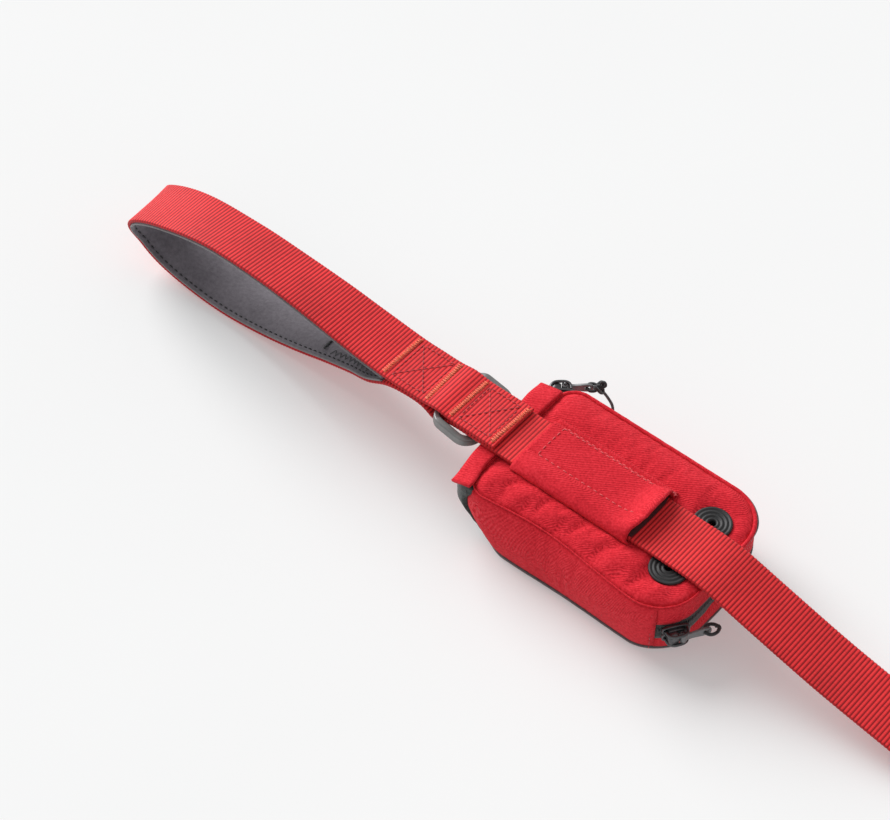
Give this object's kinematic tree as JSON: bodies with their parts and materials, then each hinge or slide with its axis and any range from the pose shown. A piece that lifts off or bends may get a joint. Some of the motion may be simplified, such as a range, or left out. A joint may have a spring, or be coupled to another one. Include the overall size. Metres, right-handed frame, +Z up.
{
  "type": "dog lead with pouch",
  "caption": "Webbing dog lead with a lined hand loop, accessory ring, zipped bag pouch sewn to the strap, and a swivel snap hook.",
  "frame": {"origin": "centre of the pouch's flat base, on the surface that the lead lies on", "axes": "+X along the lead from the hand loop to the hook, +Y across the lead, +Z up from the surface"},
  "size_m": [0.6742, 0.2576, 0.0442],
  "materials": {
    "webbing_red": "ribbed woven webbing, satin",
    "lining_grey": "soft foam-backed knit, matte",
    "thread_black": "dense black stitching",
    "thread_orange": "dense orange stitching",
    "thread_red": "red stitching",
    "ring_metal": "satin grey metal",
    "pack_cloth": "plain woven pack cloth, coated",
    "binding_grey": "woven binding tape",
    "zip_tape": "coated woven zip tape",
    "zip_teeth": "moulded coil teeth",
    "outlet_rubber": "matte moulded rubber",
    "slider_metal": "gunmetal lacquer",
    "pull_cord": "round braided cord",
    "hook_metal": "satin grey metal"
  },
  "bodies": {
    "lead": {"handle_webbing": "webbing_red", "handle_lining": "lining_grey", "lining_bartack": "thread_black", "lead_webbing": "webbing_red", "bartack_a": "thread_orange", "bartack_b": "thread_orange", "bartack_c": "thread_orange", "bartack_d": "thread_orange", "box_stitch_rear": "thread_red", "box_stitch_front": "thread_red", "pouch_base": "pack_cloth", "base_binding": "binding_grey", "side_near": "pack_cloth", "side_far": "pack_cloth", "end_left": "pack_cloth", "end_right_lower": "pack_cloth", "end_right_upper": "pack_cloth", "left_zip_tape": "zip_tape", "right_zip_tape": "zip_tape", "left_zip_teeth": "zip_teeth", "right_zip_teeth": "zip_teeth", "left_zip_stop": "zip_teeth", "right_zip_stop": "zip_teeth", "top_panel": "pack_cloth", "rim_piping": "pack_cloth", "end_flap": "pack_cloth", "sleeve": "pack_cloth", "sleeve_stitching": "thread_red", "outlet_near": "outlet_rubber", "outlet_far": "outlet_rubber", "lead_strap": "webbing_red", "lead_coil": "webbing_red", "strap_tail": "webbing_red", "end_loop": "webbing_red", "end_bartack": "thread_orange"},
    "ring": {"ring": "ring_metal"},
    "left_slider": {"left_slider": "slider_metal"},
    "left_pull": {"left_pull_tab": "slider_metal", "left_pull_cord": "pull_cord"},
    "right_slider": {"right_slider": "slider_metal"},
    "right_pull": {"right_pull_tab": "slider_metal", "right_pull_cord": "pull_cord"},
    "hook_eye": {"hook_eye": "hook_metal"},
    "hook_body": {"hook_body": "hook_metal", "gate_pin": "hook_metal"},
    "hook_gate": {"hook_gate": "hook_metal"}
  },
  "joints": [
    {"name": "ring_swing", "type": "hinge", "parent": "lead", "child": "ring", "pos_m": [-0.074, -0.0015, 0.03215], "axis": [0, 1, 0], "range_deg": [0, 140]},
    {"name": "left_zip_run", "type": "hinge", "parent": "lead", "child": "left_slider", "pos_m": [-0.036, 0.017, 0.024], "axis": [0, 0, 1], "range_deg": [-8, 42]},
    {"name": "left_pull_swing", "type": "hinge", "parent": "left_slider", "child": "left_pull", "pos_m": [-0.04835, 0.03405, 0.024], "axis": [0, 0, 1], "range_deg": [0, 100]},
    {"name": "right_zip_run", "type": "hinge", "parent": "lead", "child": "right_slider", "pos_m": [0.034, -0.015, 0.015], "axis": [0, 0, 1], "range_deg": [-4, 27]},
    {"name": "right_pull_swing", "type": "hinge", "parent": "right_slider", "child": "right_pull", "pos_m": [0.05449, -0.02556, 0.015], "axis": [0, 0, -1], "range_deg": [0, 100]},
    {"name": "eye_swing", "type": "hinge", "parent": "lead", "child": "hook_eye", "pos_m": [0.305, 0.0605, 0.0065], "axis": [0, -1, 0], "range_deg": [0, 95]},
    {"name": "hook_swivel", "type": "hinge", "parent": "hook_eye", "child": "hook_body", "pos_m": [0.317, 0.0605, 0.0065], "axis": [1, 0, 0], "continuous": true},
    {"name": "gate_swing", "type": "hinge", "parent": "hook_body", "child": "hook_gate", "pos_m": [0.3338, 0.0695, 0.0065], "axis": [0, 0, -1], "range_deg": [0, 26], "stiffness_Nm_per_rad": 0.02, "springref_deg": -11.46}
  ]
}
